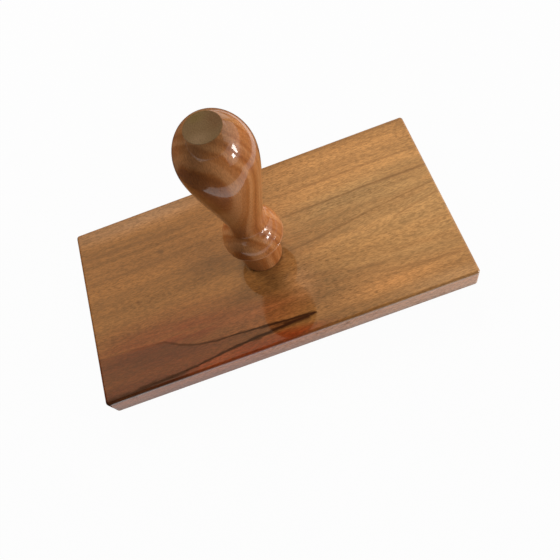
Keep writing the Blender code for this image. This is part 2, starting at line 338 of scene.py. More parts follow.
@dataclass(frozen=True)
class Varnish:
    """Clear varnish: glossy, a little smeared by hands, thin over open pores and rubbed edges."""

    smear_pace: tuple[float, ...] = (35.0, 35.0, 35.0)
    mark_height: float = 6.0
    gloss: float = 0.22
    smear_dulling: float = 0.12
    pore_dulling: float = 0.20
    wear_dulling: float = 0.25
    coat: float = 0.90
    pore_thinning: float = 0.45
    wear_thinning: float = 0.60

    def build(self) -> None:
        """Makes the group, with the base roughness, the coat and the relief."""
        inputs = {"Place": Kind.VECTOR, "Marks": Kind.VECTOR}
        inputs |= {"Pore": Kind.VALUE, "Fibre": Kind.VALUE, "Wear": Kind.VALUE}
        outputs = {"Roughness": Kind.VALUE, "Coat": Kind.VALUE, "Height": Kind.VALUE}
        tree, entry, leave = start_group(Group.VARNISH, inputs, outputs)
        pore = entry["Pore"]
        wear = entry["Wear"]
        smears = tree.stretched_noise(entry["Place"], self.smear_pace)
        smear = tree.math("MULTIPLY", smears, self.smear_dulling)
        pore_dull = tree.math("MULTIPLY", pore, self.pore_dulling)
        wear_dull = tree.math("MULTIPLY", wear, self.wear_dulling)
        tree.feed(leave.inputs["Roughness"], tree.total(smear, pore_dull, wear_dull, self.gloss))
        pore_thin = tree.math("MULTIPLY", pore, -self.pore_thinning)
        wear_thin = tree.math("MULTIPLY", wear, -self.wear_thinning)
        tree.feed(leave.inputs["Coat"], tree.total(pore_thin, wear_thin, self.coat))
        marks = tree.noise(tree.vector("MULTIPLY", entry["Place"], entry["Marks"]))
        fine = tree.math("SUBTRACT", entry["Fibre"], pore)
        tree.feed(leave.inputs["Height"], tree.math("MULTIPLY_ADD", marks, self.mark_height, fine))


class FigureLineMask:
    """A straight soft-edged line of the wood's figure."""

    def build(self) -> None:
        """Makes the group: 1 on the line from Start to End, falling to 0 about a Width away."""
        inputs = {"Place": Kind.VECTOR, "Start": Kind.VECTOR, "End": Kind.VECTOR, "Width": Kind.VALUE}
        tree, entry, leave = start_group(Group.LINE, inputs, {"Mask": Kind.VALUE})
        run = tree.vector("SUBTRACT", entry["End"], entry["Start"])
        way = tree.vector("SUBTRACT", entry["Place"], entry["Start"])
        reached = tree.measure("DOT_PRODUCT", way, run)
        along = tree.math("DIVIDE", reached, tree.measure("DOT_PRODUCT", run, run))
        held = tree.math("MINIMUM", tree.math("MAXIMUM", along, 0.0), 1.0)
        foot = tree.vector("MULTIPLY", run, tree.join(held, held, held))
        away = tree.measure("LENGTH", tree.vector("SUBTRACT", way, foot))
        off = tree.math("DIVIDE", away, entry["Width"])
        tree.feed(leave.inputs["Mask"], tree.span(off, 0.0, 1.0, 1.0, 0.0))


class SoftPatchMask:
    """A soft-edged oval area."""

    def build(self) -> None:
        """Makes the group: 1 from Centre out to the share Core of Reach, falling to 0 at Reach."""
        inputs = {"Place": Kind.VECTOR, "Centre": Kind.VECTOR, "Reach": Kind.VECTOR, "Core": Kind.VALUE}
        tree, entry, leave = start_group(Group.PATCH, inputs, {"Mask": Kind.VALUE})
        way = tree.vector("SUBTRACT", entry["Place"], entry["Centre"])
        off = tree.measure("LENGTH", tree.vector("DIVIDE", way, entry["Reach"]))
        tree.feed(leave.inputs["Mask"], tree.span(off, entry["Core"], 1.0, 1.0, 0.0))


def build_groups() -> None:
    """Makes the node groups that the finishes share."""
    for maker in (LongGrain(), Varnish(), FigureLineMask(), SoftPatchMask()):
        maker.build()


@dataclass(frozen=True)
class Stain:
    """A soft-edged area of another colour: mostly the wood's own, in a few places painted light or shade."""

    centre: tuple[float, ...]
    reach: tuple[float, ...]
    colour: Colour
    strength: float
    core: float = 0.0

    def mask(self, tree: Tree, place: Socket) -> Socket:
        """Where the area lies, from 0 to 1."""
        shape = {"Centre": self.centre, "Reach": self.reach, "Core": self.core}
        return tree.group(Group.PATCH, Place=place, **shape)["Mask"]


@dataclass(frozen=True)
class Mottle:
    """How a wood's areas of other colours break up: their number to the metre and their least strength."""

    pace: tuple[float, ...]
    least: float = 0.65
    noise_range: Spot = (0.30, 0.60)

    def strength(self, tree: Tree, place: Socket) -> Socket:
        """The areas' strength at a place, from the least to 1."""
        return tree.span(tree.stretched_noise(place, self.pace), *self.noise_range, self.least, 1.0)


def stained(tree: Tree, place: Socket, colour: Feed, stains: tuple[Stain, ...], mottle: Mottle) -> Socket:
    """Lays areas of other colours over the wood's own.

    Args:
        tree: The material's tree.
        place: The place on the piece.
        colour: The wood's own colour.
        stains: The areas.
        mottle: How they break up.

    Returns:
        The colour with its areas.
    """
    broken = mottle.strength(tree, place)
    for stain in stains:
        strength = tree.math("MULTIPLY", broken, stain.strength)
        colour = tree.mix(tree.math("MULTIPLY", stain.mask(tree, place), strength), colour, stain.colour)
    return colour


@dataclass(frozen=True)
class FigureLine:
    """One thin dark line of the wood's figure."""

    start: Spot
    end: Spot
    width: float
    depth: float


@dataclass(frozen=True)
class Branch:
    """One branch of a dark streak: its middle line, its half widths and its depths along the board."""

    course: tuple[Spot, ...]
    widths: tuple[Spot, ...]
    depths: tuple[Spot, ...]


@dataclass(frozen=True)
class Finish:
    """What every finish has: a slot and the shader values that are the same all over."""

    slot: Slot
    specular: float = 0.12
    coat_roughness: float = 0.06
    relief_strength: float = 0.25
    relief_depth: float = 0.00006
    mark_pace: tuple[float, ...] = (60.0, 330.0, 330.0)

    def start(self) -> tuple[bpy.types.Material, Tree, bpy.types.Node]:
        """Starts the material.

        Returns:
            The material, its tree and its shader.
        """
        made, tree = start_material(self.slot.value + "_finish")
        shader = tree.add("ShaderNodeBsdfPrincipled")
        plain = {"Specular IOR Level": self.specular, "Coat Roughness": self.coat_roughness}
        tree.feed_all(shader, plain)
        leave = tree.add("ShaderNodeOutputMaterial")
        tree.feed(leave.inputs["Surface"], shader.outputs["BSDF"])
        return made, tree, shader

    def place(self, tree: Tree) -> Socket:
        """The place on the object, in metres."""
        return tree.add("ShaderNodeTexCoord").outputs["Object"]

    def relief(self, tree: Tree, shader: bpy.types.Node, height: Socket) -> None:
        """Turns a height into the shader's normal.

        Args:
            tree: The material's tree.
            shader: Its shader.
            height: The relief, about 1 high.
        """
        bump = tree.add("ShaderNodeBump")
        values = {"Strength": self.relief_strength, "Distance": self.relief_depth, "Height": height}
        tree.feed_all(bump, values)
        tree.feed(shader.inputs["Normal"], bump.outputs["Normal"])

    def varnish(
        self,
        tree: Tree,
        shader: bpy.types.Node,
        place: Socket,
        grain: bpy.types.NodeOutputs,
        wear: Feed,
    ) -> None:
        """Lays clear varnish over the wood.

        Args:
            tree: The material's tree.
            shader: Its shader.
            place: The place on the object.
            grain: The grain group's outputs.
            wear: Where the varnish is rubbed, from 0 to 1.
        """
        lines = {"Pore": grain["Pore"], "Fibre": grain["Fibre"], "Marks": self.mark_pace}
        laid = tree.group(Group.VARNISH, Place=place, Wear=wear, **lines)
        tree.feed(shader.inputs["Roughness"], laid["Roughness"])
        tree.feed(shader.inputs["Coat Weight"], laid["Coat"])
        self.relief(tree, shader, laid["Height"])


@dataclass(frozen=True, kw_only=True)
class BoardWood(Finish):
    """The board's figured hardwood, golden at the back and red at the front, with one dark forked streak.

    Places are metres on the board from its centre, X along the grain and Y towards the back.
    """

    half_size: tuple[float, ...]
    body_colour: Colour = (0.255, 0.102, 0.026)
    pore_colour: Colour = (0.12, 0.050, 0.017)
    line_colour: Colour = (0.15, 0.058, 0.016)
    fill_colour: Colour = (0.100, 0.021, 0.006)
    streak_colour: Colour = (0.036, 0.009, 0.002)
    arris_colour: Colour = (0.48, 0.22, 0.09)
    # Long edges: a paler, pinker colour that is partly a painted reflection of the floor, and a tone that
    # paints shade on their lower part.
    edge_wood_and_painted_light: Colour = (0.50, 0.19, 0.098)
    edge_painted_shade_tone: Colour = (0.66, 0.76, 0.86)
    end_colour: Colour = (0.20, 0.080, 0.026)
    edge_share: float = 0.88
    edge_start: Spot = (0.0012, 0.0030)
    edge_painted_shade_rise: float = 0.0110
    edge_wood_and_sheen_stains: tuple[Stain, ...] = (
        Stain((0.080, -0.0525, 0.0), (0.130, 0.040, 1.0), (0.680, 0.340, 0.185), 1.00),
    )
    edge_wear: float = 0.75
    ribbon_range: Spot = (0.32, 0.68)
    ribbon_low: float = 0.82
    ribbon_high: float = 1.18
    fibre_low: float = 0.76
    fibre_high: float = 1.24
    pore_depth: float = 0.70
    mottle: Mottle = Mottle((28.0, 210.0, 210.0))
    wander_pace: tuple[float, ...] = (22.0, 60.0, 60.0)
    wander: float = 0.0026
    fan_middle: float = -0.0140
    fan_width: float = 0.0170
    fan_start: float = 0.0120
    fan_strength: float = 0.55
    arris_reach: float = 0.0014
    arris_strength: float = 0.10
    streak_depth: float = 0.0060
    streak_dulling: float = 0.90
    streak_widest: float = 0.0060
    fray_pace: tuple[float, ...] = (160.0, 900.0, 900.0)
    fray: tuple[float, ...] = (0.3, 0.7, 0.5, 1.4)
    branch_fade: Spot = (0.2, 1.7)
    fill_fade: Spot = (-0.0004, 0.0012)
    hairline: float = 0.00002
    stains: tuple[Stain, ...] = (
        Stain((0.085, 0.000, 0.0), (0.120, 0.090, 1.0), (0.392, 0.205, 0.070), 1.00),
        Stain((0.060, 0.036, 0.0), (0.085, 0.024, 1.0), (0.470, 0.222, 0.070), 0.80),
        Stain((0.055, 0.013, 0.0), (0.066, 0.016, 1.0), (0.300, 0.165, 0.060), 0.85),
        Stain((0.048, -0.018, 0.0), (0.055, 0.011, 1.0), (0.300, 0.144, 0.042), 0.65),
        Stain((0.055, -0.040, 0.0), (0.050, 0.012, 1.0), (0.430, 0.185, 0.054), 0.80),
        Stain((0.085, -0.050, 0.0), (0.050, 0.008, 1.0), (0.450, 0.235, 0.095), 0.65),
        # Painted light: a pale pink patch in front of the handle's foot, where the handle's shade and
        # reflection fall.
        Stain((0.014, -0.025, 0.0), (0.014, 0.014, 1.0), (0.520, 0.235, 0.085), 0.80),
        # Painted shadow: a darker band left of and behind the handle, where its shadow falls across the board.
        Stain((-0.055, 0.021, 0.0), (0.065, 0.018, 1.0), (0.205, 0.080, 0.021), 0.65),
        Stain((-0.060, 0.042, 0.0), (0.050, 0.012, 1.0), (0.320, 0.133, 0.036), 0.60),
        Stain((-0.060, 0.049, 0.0), (0.080, 0.011, 1.0), (0.330, 0.170, 0.080), 0.85),
        # Painted shadow: the handle's shadow on the board just left of its foot.
        Stain((-0.029, 0.006, 0.0), (0.024, 0.017, 1.0), (0.170, 0.066, 0.018), 0.85),
        Stain((-0.062, -0.032, 0.0), (0.080, 0.026, 1.0), (0.160, 0.028, 0.007), 0.95, 0.10),
        # Painted light: a lighter, redder patch in front of the handle that lifts the shade of its shadow and
        # reflection there.
        Stain((-0.008, -0.034, 0.0), (0.036, 0.012, 1.0), (0.380, 0.115, 0.034), 0.85),
        Stain((-0.024, -0.0500, 0.0), (0.058, 0.0062, 1.0), (0.225, 0.036, 0.007), 1.00, 0.45),
        Stain((-0.088, -0.0510, 0.0), (0.050, 0.0075, 1.0), (0.060, 0.009, 0.002), 1.00, 0.45),
    )
    lines: tuple[FigureLine, ...] = (
        FigureLine((-0.100, 0.0330), (-0.040, 0.0330), 0.0028, 0.35),
        FigureLine((-0.100, 0.0173), (-0.050, 0.0173), 0.0011, 0.50),
        FigureLine((0.010, 0.0300), (0.100, 0.0300), 0.0012, 0.40),
        FigureLine((0.017, 0.0164), (0.100, 0.0164), 0.0011, 0.60),
        FigureLine((0.015, -0.0049), (0.060, -0.0011), 0.0010, 0.60),
        FigureLine((0.060, -0.0011), (0.0988, 0.0032), 0.0009, 0.50),
        FigureLine((0.0725, -0.0093), (0.0988, -0.0049), 0.0010, 0.40),
        FigureLine((0.016, -0.0218), (0.056, -0.0280), 0.0020, 0.30),
        FigureLine((0.030, -0.0300), (0.095, -0.0370), 0.0016, 0.30),
        FigureLine((-0.0545, 0.0232), (-0.0530, 0.0225), 0.0018, 0.95),
    )
    wedge: FigureLine = FigureLine((0.0000, -0.0438), (0.0118, -0.0433), 0.0030, 1.00)
    upper: Branch = Branch(
        (
            (-0.1000, -0.0270),
            (-0.0780, -0.0286),
            (-0.0640, -0.0297),
            (-0.0555, -0.0343),
            (-0.0400, -0.0390),
            (-0.0260, -0.0397),
            (-0.0035, -0.0413),
            (0.0170, -0.0427),
        ),
        ((-0.1000, 0.0003), (-0.0580, 0.0007), (-0.0200, 0.0006), (0.0050, 0.0010), (0.0170, 0.0002)),
        ((-0.1000, 0.10), (-0.0700, 0.35), (-0.0500, 0.72), (-0.0250, 0.90), (0.0170, 0.98)),
    )
    lower: Branch = Branch(
        (
            (-0.1000, -0.0512),
            (-0.0800, -0.0507),
            (-0.0590, -0.0497),
            (-0.0400, -0.0476),
            (-0.0260, -0.0459),
            (-0.0080, -0.0449),
            (0.0170, -0.0427),
        ),
        ((-0.1000, 0.0012), (-0.0720, 0.0011), (-0.0480, 0.0007), (0.0000, 0.0011), (0.0170, 0.0002)),
        ((-0.1000, 0.65), (-0.0720, 0.95), (-0.0480, 0.92), (0.0000, 0.98), (0.0170, 0.98)),
    )
    fill_strengths: tuple[Spot, ...] = (
        (-0.1000, 0.70),
        (-0.0600, 0.85),
        (0.0000, 0.60),
        (0.0170, 0.65),
    )

    def material(self) -> bpy.types.Material:
        """Makes the board's material.

        Returns:
            The material.
        """
        made, tree, shader = self.start()
        place = self.place(tree)
        flow = self.flow(tree, place)
        grain = tree.group(Group.GRAIN, Place=flow)
        over = self.overhang(tree, place)
        wear = self.arris_wear(tree, over)
        end, edge = self.sides(tree, place, over)
        streak, fill = self.streak_masks(tree, flow)
        flat = tree.vector("MULTIPLY", flow, LEVEL)
        colour = stained(tree, flat, self.body_colour, self.stains, self.mottle)
        colour = tree.mix(fill, colour, self.fill_colour)
        # The long edges' colour, with its painted reflection and painted shade.
        edge_wood_and_painted_light = self.edge_wood_sheen_and_shade(tree, place, flat)
        colour = tree.mix(tree.math("MULTIPLY", edge, self.edge_share), colour, edge_wood_and_painted_light)
        colour = tree.mix(tree.math("MULTIPLY", end, self.edge_share), colour, self.end_colour)
        ribbon = tree.span(grain["Ribbon"], *self.ribbon_range, self.ribbon_low, self.ribbon_high)
        fibre = tree.span(grain["Fibre"], *FIBRE_RANGE, self.fibre_low, self.fibre_high)
        colour = tree.mix(1.0, colour, tree.math("MULTIPLY", ribbon, fibre), "MULTIPLY")
        colour = tree.mix(tree.math("MULTIPLY", grain["Pore"], self.pore_depth), colour, self.pore_colour)
        colour = tree.mix(self.line_mask(tree, flow), colour, self.line_colour)
        colour = tree.mix(streak, colour, self.streak_colour)
        colour = tree.mix(wear, colour, self.arris_colour)
        tree.feed(shader.inputs["Base Color"], colour)
        bare = tree.math("MULTIPLY", tree.math("MAXIMUM", end, edge), self.edge_wear)
        dull = tree.math("MAXIMUM", bare, tree.math("MULTIPLY", streak, self.streak_dulling))
        self.varnish(tree, shader, place, grain, tree.math("MAXIMUM", wear, dull))
        return made

    def edge_wood_sheen_and_shade(self, tree: Tree, place: Socket, flat: Socket) -> Socket:
        """The long edges' colours under the top arris: their wood with a painted reflection of the pale floor
        over it, paler towards the right end, and painted shade that darkens and greys them further down.

        Args:
            tree: The material's tree.
            place: The place on the board.
            flat: The place in the grain, level with the underside.

        Returns:
            The colour.
        """
        z = tree.split(place)[2]
        colour = stained(tree, flat, self.edge_wood_and_painted_light, self.edge_wood_and_sheen_stains, self.mottle)
        # Painted shade: darker and greyer towards the bottom of the long edges.
        low = tree.span(z, 0.0, self.edge_painted_shade_rise, 1.0, 0.0)
        return tree.mix(low, colour, self.edge_painted_shade_tone, "MULTIPLY")

    def flow(self, tree: Tree, place: Socket) -> Socket:
        """Bends the grain: it wanders a little, and fans out from the handle towards the right end.

        Args:
            tree: The material's tree.
            place: The place on the board.

        Returns:
            The place in the straight grain that shows there.
        """
        x, y, z = tree.split(place)
        drift = tree.math("SUBTRACT", tree.stretched_noise(place, self.wander_pace), NOISE_MIDDLE)
        wandered = tree.math("ADD", y, tree.math("MULTIPLY", drift, self.wander))
        off = tree.math("SUBTRACT", wandered, self.fan_middle)
        share = tree.math("DIVIDE", off, self.fan_width)
        near = tree.math("POWER", math.e, tree.math("MULTIPLY", tree.math("MULTIPLY", share, share), -1.0))
        reach = tree.span(x, self.fan_start, self.half_size[0], 0.0, self.fan_strength)
        fan = tree.math("MULTIPLY", tree.math("MULTIPLY", off, near), reach)
        return tree.join(x, tree.math("SUBTRACT", wandered, fan), z)

    def line_mask(self, tree: Tree, place: Socket) -> Socket:
        """Where the thin dark lines run, from 0 to 1."""
        flat = tree.vector("MULTIPLY", place, LEVEL)
        darkest = 0.0
        for line in self.lines:
            darkest = tree.math("MAXIMUM", darkest, self.one_line(tree, flat, line))
        return darkest

    def one_line(self, tree: Tree, flat: Socket, line: FigureLine) -> Socket:
        """One line's darkness, from 0 to 1."""
        start = (*line.start, 0.0)
        end = (*line.end, 0.0)
        drawn = tree.group(Group.LINE, Place=flat, Start=start, End=end, Width=line.width)
        return tree.math("MULTIPLY", drawn["Mask"], line.depth)

    def streak_masks(self, tree: Tree, place: Socket) -> tuple[Socket, Socket]:
        """Where the dark forked streak runs, and where the brown wood between its branches lies.

        Args:
            tree: The material's tree.
            place: The place in the grain.

        Returns:
            The two masks, each from 0 to 1.
        """
        x, y, z = tree.split(place)
        half_length = self.half_size[0]
        along = tree.math("DIVIDE", tree.math("ADD", x, half_length), 2 * half_length)
        upper = self.branch_middle(tree, along, self.upper.course)
        lower = self.branch_middle(tree, along, self.lower.course)
        top = 2 * self.half_size[2]
        sunk = tree.span(z, top - self.streak_depth, top)
        shown = tree.math("MULTIPLY", tree.math("LESS_THAN", x, self.upper.course[-1][0]), sunk)
        flat = tree.join(x, y, 0.0)
        dark = self.one_line(tree, flat, self.wedge)
        for middle, branch in ((upper, self.upper), (lower, self.lower)):
            off = tree.math("ABSOLUTE", tree.math("SUBTRACT", y, middle))
            dark = tree.math("MAXIMUM", dark, self.branch_mask(tree, flat, along, off, branch))
        between = tree.math("MULTIPLY", tree.span(tree.math("SUBTRACT", upper, y), *self.fill_fade), shown)
        between = tree.math("MULTIPLY", between, tree.math("GREATER_THAN", y, lower))
        strength = tree.curve(along, self.along_board(self.fill_strengths, 1.0))
        return tree.math("MULTIPLY", dark, shown), tree.math("MULTIPLY", between, strength)

    def along_board(self, spots: tuple[Spot, ...], full: float) -> tuple[Spot, ...]:
        """Points of a curve along the board, as shares of its length and of a full height."""
        half_length = self.half_size[0]
        return tuple(((x + half_length) / (2 * half_length), height / full) for x, height in spots)

    def branch_middle(self, tree: Tree, along: Socket, course: tuple[Spot, ...]) -> Socket:
        """The middle line of one of the streak's branches.

        Args:
            tree: The material's tree.
            along: The share of the board's length.
            course: Places on the line.

        Returns:
            The line's place across the board.
        """
        half_width = self.half_size[1]
        raised = tuple((x, y + half_width) for x, y in course)
        line = tree.curve(along, self.along_board(raised, 2 * half_width))
        return tree.math("MULTIPLY_ADD", line, 2 * half_width, -half_width)

    def branch_mask(self, tree: Tree, flat: Socket, along: Socket, off: Socket, branch: Branch) -> Socket:
        """One branch of the streak.

        Args:
            tree: The material's tree.
            flat: The place in the grain, level with the underside.
            along: The share of the board's length.
            off: How far the place lies from the branch's middle line.
            branch: The branch.

        Returns:
            The branch's darkness, from 0 to 1.
        """
        swell = tree.curve(along, self.along_board(branch.widths, self.streak_widest))
        ragged = tree.span(tree.stretched_noise(flat, self.fray_pace), *self.fray)
        drawn = tree.math("MULTIPLY", tree.math("MULTIPLY", swell, self.streak_widest), ragged)
        half = tree.math("MAXIMUM", drawn, self.hairline)
        shape = tree.span(tree.math("DIVIDE", off, half), *self.branch_fade, 1.0, 0.0)
        return tree.math("MULTIPLY", shape, tree.curve(along, self.along_board(branch.depths, 1.0)))

    def overhang(self, tree: Tree, place: Socket) -> Socket:
        """How far a place lies in the outermost layer of each pair of faces.

        Args:
            tree: The material's tree.
            place: The place on the board.

        Returns:
            The depth in the layer along X, Y and Z, below 0 further in.
        """
        centred = tree.vector("SUBTRACT", place, (0.0, 0.0, self.half_size[2]))
        inset = tuple(half - self.arris_reach for half in self.half_size)
        return tree.vector("SUBTRACT", tree.vector("ABSOLUTE", centred, (0.0, 0.0, 0.0)), inset)

    def sides(self, tree: Tree, place: Socket, over: Socket) -> tuple[Socket, Socket]:
        """Where the board's end grain shows, and where its long edges do.

        The top's look runs on over the rounded arris, so both start a little under it.

        Args:
            tree: The material's tree.
            place: The place on the board.
            over: The depth in the outermost layers.

        Returns:
            The ends and the long edges, each from 0 to 1.
        """
        depth = tree.math("SUBTRACT", 2 * self.half_size[2], tree.split(place)[2])
        under = tree.span(depth, *self.edge_start)
        x, y, _ = tree.split(over)
        end = tree.math("MULTIPLY", tree.span(x, 0.0, self.arris_reach), under)
        edge = tree.math("MULTIPLY", tree.span(y, 0.0, self.arris_reach), under)
        return end, edge

    def arris_wear(self, tree: Tree, over: Socket) -> Socket:
        """Where the board's arrises are rubbed: near two of its faces at once.

        Args:
            tree: The material's tree.
            over: The depth in the outermost layers.

        Returns:
            The wear, from 0 to 1.
        """
        x, y, z = tree.split(over)
        upright = tree.math("MINIMUM", x, y)
        level = tree.math("MINIMUM", tree.math("MAXIMUM", x, y), z)
        side = tree.math("MAXIMUM", upright, level)
        return tree.span(side, 0.0, self.arris_reach, 0.0, self.arris_strength)


@dataclass(frozen=True, kw_only=True)
class HandleWood(Finish):
    """The handle's hardwood: upright grain, dark end grain at the crown, darker creases, and a pale lip that is
    a painted highlight.
    """

    crown: float
    creases: tuple[Spot, ...]
    lip: Spot
    body_colour: Colour = (0.35, 0.118, 0.031)
    pale_colour: Colour = (0.47, 0.200, 0.074)
    dark_colour: Colour = (0.21, 0.056, 0.013)
    pore_colour: Colour = (0.12, 0.045, 0.015)
    end_colour: Colour = (0.140, 0.082, 0.036)
    crease_dark_colour: Colour = (0.06, 0.020, 0.008)
    end_rise: float = 0.0065
    end_share: float = 0.50
    flat_stains: tuple[Stain, ...] = (
        Stain((0.0060, 0.0020, 0.1230), (0.0065, 0.0095, 0.0100), (0.112, 0.052, 0.020), 0.90),
        Stain((-0.0020, 0.0060, 0.1230), (0.0065, 0.0045, 0.0100), (0.125, 0.080, 0.024), 0.80),
        Stain((-0.0030, -0.0050, 0.1230), (0.0070, 0.0050, 0.0100), (0.195, 0.120, 0.062), 0.90),
    )
    rubbed_height: Spot = (0.0390, 0.0450)
    rubbed_share: float = 0.35
    grip_share: float = 0.10
    # The lip's pale colour is a painted highlight along the bead's arris.
    lip_painted_highlight_share: float = 0.40
    lip_painted_highlight_colour: Colour = (0.62, 0.31, 0.17)
    pith: Spot = (0.034, 0.046)
    ring_pace: float = 260.0
    pale_rings: Spot = (0.42, 0.62)
    dark_rings: Spot = (0.46, 0.28)
    drift_pace: tuple[float, ...] = (18.0, 120.0, 120.0)
    drift: float = 0.0030
    mottle: Mottle = Mottle((420.0, 420.0, 260.0), 0.66)
    fibre_low: float = 0.86
    fibre_high: float = 1.14
    pore_depth: float = 0.40
    crease_dark_strength: float = 0.75

    def material(self) -> bpy.types.Material:
        """Makes the handle's material.

        Returns:
            The material.
        """
        made, tree, shader = self.start()
        place = self.place(tree)
        x, y, z = tree.split(place)
        upright = tree.join(z, x, y)
        grain = tree.group(Group.GRAIN, Place=upright)
        rings = self.rings(tree, x, y, upright)
        colour = tree.mix(tree.span(rings, *self.pale_rings), self.body_colour, self.pale_colour)
        colour = tree.mix(tree.span(rings, *self.dark_rings), colour, self.dark_colour)
        fibre = tree.span(grain["Fibre"], *FIBRE_RANGE, self.fibre_low, self.fibre_high)
        colour = tree.mix(1.0, colour, fibre, "MULTIPLY")
        colour = tree.mix(tree.math("MULTIPLY", grain["Pore"], self.pore_depth), colour, self.pore_colour)
        dome = tree.span(z, self.crown - self.end_rise, self.crown, 0.0, self.end_share)
        flat = tree.span(z, self.crown - CLEARANCE, self.crown)
        end = tree.math("MAXIMUM", dome, flat)
        end_grain = stained(tree, place, self.end_colour, self.flat_stains, self.mottle)
        colour = tree.mix(end, colour, tree.mix(1.0, end_grain, fibre, "MULTIPLY"))
        # Darker bands just under the bead's lip and round the foot, with duller varnish.
        crease_darkness = self.crease_darkness(tree, z)
        colour = tree.mix(crease_darkness, colour, self.crease_dark_colour)
        # Painted highlight along the bead's lip; the same band dulls the varnish there.
        lip = self.near(tree, z, self.lip, self.lip_painted_highlight_share)
        colour = tree.mix(lip, colour, self.lip_painted_highlight_colour)
        tree.feed(shader.inputs["Base Color"], colour)
        rubbed = tree.span(z, *self.rubbed_height, self.rubbed_share, self.grip_share)
        dull = tree.math("MAXIMUM", tree.math("MAXIMUM", crease_darkness, flat), tree.math("MAXIMUM", rubbed, lip))
        self.varnish(tree, shader, place, grain, dull)
        return made

    def rings(self, tree: Tree, x: Socket, y: Socket, upright: Socket) -> Socket:
        """The growth rings about the tree's pith, which lies outside the handle.

        Args:
            tree: The material's tree.
            x: The place along the board.
            y: The place across it.
            upright: The place in the upright grain.

        Returns:
            The rings' tone, from 0 to 1.
        """
        from_pith = tree.vector("SUBTRACT", tree.join(x, y, 0.0), (*self.pith, 0.0))
        drift = tree.math("MULTIPLY", tree.stretched_noise(upright, self.drift_pace), self.drift)
        radius = tree.math("ADD", tree.measure("LENGTH", from_pith), drift)
        return tree.noise(tree.join(tree.math("MULTIPLY", radius, self.ring_pace), 0.0, 0.0), 1.0)

    def crease_darkness(self, tree: Tree, z: Socket) -> Socket:
        """Where the turned creases are darker and their varnish duller, from 0 to 1."""
        darkened = 0.0
        for crease in self.creases:
            darkened = tree.math("MAXIMUM", darkened, self.near(tree, z, crease, self.crease_dark_strength))
        return darkened

    def near(self, tree: Tree, z: Socket, band: Spot, strength: float) -> Socket:
        """A soft band round the handle.

        Args:
            tree: The material's tree.
            z: The height on the handle.
            band: The band's height and how far it reaches up and down.
            strength: Its strength at that height.

        Returns:
            The band, from its strength to 0.
        """
        height, reach = band
        off = tree.math("ABSOLUTE", tree.math("SUBTRACT", z, height))
        return tree.span(off, 0.0, reach, strength, 0.0)


@dataclass(frozen=True)
class PlugWood(Finish):
    """The plug's wood: darker, unvarnished, its grain across the board."""

    body_colour: Colour = (0.30, 0.130, 0.048)
    pale_colour: Colour = (0.40, 0.190, 0.075)
    pore_colour: Colour = (0.09, 0.036, 0.014)
    pore_depth: float = 0.55
    ribbon_range: Spot = (0.35, 0.65)
    dullness: float = 1.0

    def material(self) -> bpy.types.Material:
        """Makes the plug's material.

        Returns:
            The material.
        """
        made, tree, shader = self.start()
        place = self.place(tree)
        x, y, z = tree.split(place)
        across = tree.join(y, x, z)
        grain = tree.group(Group.GRAIN, Place=across)
        colour = tree.mix(tree.span(grain["Ribbon"], *self.ribbon_range), self.body_colour, self.pale_colour)
        colour = tree.mix(tree.math("MULTIPLY", grain["Pore"], self.pore_depth), colour, self.pore_colour)
        tree.feed(shader.inputs["Base Color"], colour)
        self.varnish(tree, shader, place, grain, self.dullness)
        return made


@dataclass(frozen=True)
class Brass(Finish):
    """Drawn brass, dulled and brown in places."""

    bright_colour: Colour = (0.72, 0.50, 0.19)
    brown_colour: Colour = (0.30, 0.18, 0.07)
    tarnish_pace: tuple[float, ...] = (900.0, 900.0, 500.0)
    tarnish_range: Spot = (0.45, 0.70)
    scratch_pace: tuple[float, ...] = (5000.0, 5000.0, 700.0)
    metallic: float = 1.0
    gloss: float = 0.26
    dulled: float = 0.55

    def material(self) -> bpy.types.Material:
        """Makes the brass.

        Returns:
            The material.
        """
        made, tree, shader = self.start()
        place = self.place(tree)
        tarnish = tree.span(tree.stretched_noise(place, self.tarnish_pace), *self.tarnish_range)
        tree.feed(shader.inputs["Base Color"], tree.mix(tarnish, self.bright_colour, self.brown_colour))
        tree.feed(shader.inputs["Metallic"], self.metallic)
        tree.feed(shader.inputs["Roughness"], tree.span(tarnish, 0.0, 1.0, self.gloss, self.dulled))
        self.relief(tree, shader, tree.stretched_noise(place, self.scratch_pace))
        return made


def shares(count: int) -> list[float]:
    """Evenly spaced shares from 0 to 1."""
    return [index / (count - 1) for index in range(count)]


def oval_arc(middle: Spot, across: float, along: float, first: float, last: float, count: int) -> Profile:
    """Points of an upright oval.

    Args:
        middle: The oval's centre, as a radius and a height.
        across: Its half width.
        along: Its half height.
        first: The angle above its middle where the arc begins.
        last: The angle where it ends.
        count: How many points.

    Returns:
        The points in order.
    """
    angles = [first + (last - first) * share for share in shares(count)]
    return [(middle[0] + across * math.cos(a), middle[1] + along * math.sin(a)) for a in angles]


def cubic(corners: tuple[Spot, Spot, Spot, Spot], count: int) -> Profile:
    """Points of a cubic curve.

    Args:
        corners: Its start, its two control points and its end.
        count: How many points.

    Returns:
        The points in order.
    """
    points = []
    for t in shares(count):
        weights = ((1 - t) ** 3, 3 * t * (1 - t) ** 2, 3 * t * t * (1 - t), t**3)
        place = sum((Vector(corner) * weight for corner, weight in zip(corners, weights)), Vector((0, 0)))
        points.append((place.x, place.y))
    return points


def object_of(name: str, bm: bmesh.types.BMesh) -> bpy.types.Object:
    """An object in the scene made from a mesh under construction.

    Args:
        name: The object's name.
        bm: The mesh, which is used up.

    Returns:
        The object.
    """
    mesh = bpy.data.meshes.new(name)
    bm.to_mesh(mesh)
    bm.free()
    made = bpy.data.objects.new(name, mesh)
    bpy.context.scene.collection.objects.link(made)
    return made


